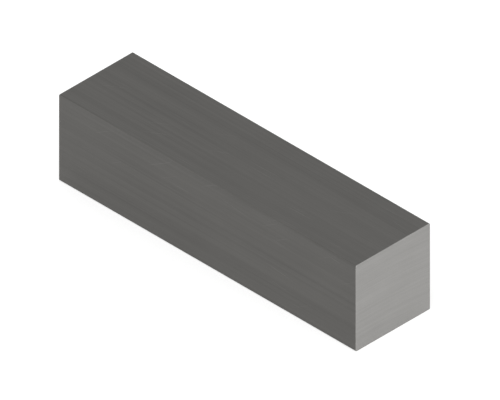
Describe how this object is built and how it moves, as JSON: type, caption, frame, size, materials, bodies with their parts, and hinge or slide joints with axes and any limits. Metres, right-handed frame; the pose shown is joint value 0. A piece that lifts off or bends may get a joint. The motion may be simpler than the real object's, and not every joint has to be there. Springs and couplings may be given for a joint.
{
  "type": "parallel key",
  "caption": "Square-section parallel key with straight ends, a plain steel bar that locks a hub to a shaft and carries torque on its flanks.",
  "frame": {"origin": "centre of the seat face, the long face that rests on the floor of the shaft's keyseat", "axes": "+X along the key, the way it lies along the shaft; +Y across the flanks; +Z out of the keyseat, from the seat face to the top face"},
  "size_m": [0.02, 0.005, 0.005],
  "materials": {
    "key_steel": "dark bright-drawn key steel, satin along the bar, paler and duller on the cut ends"
  },
  "bodies": {
    "root": {"parallel_key": "key_steel"}
  },
  "joints": []
}
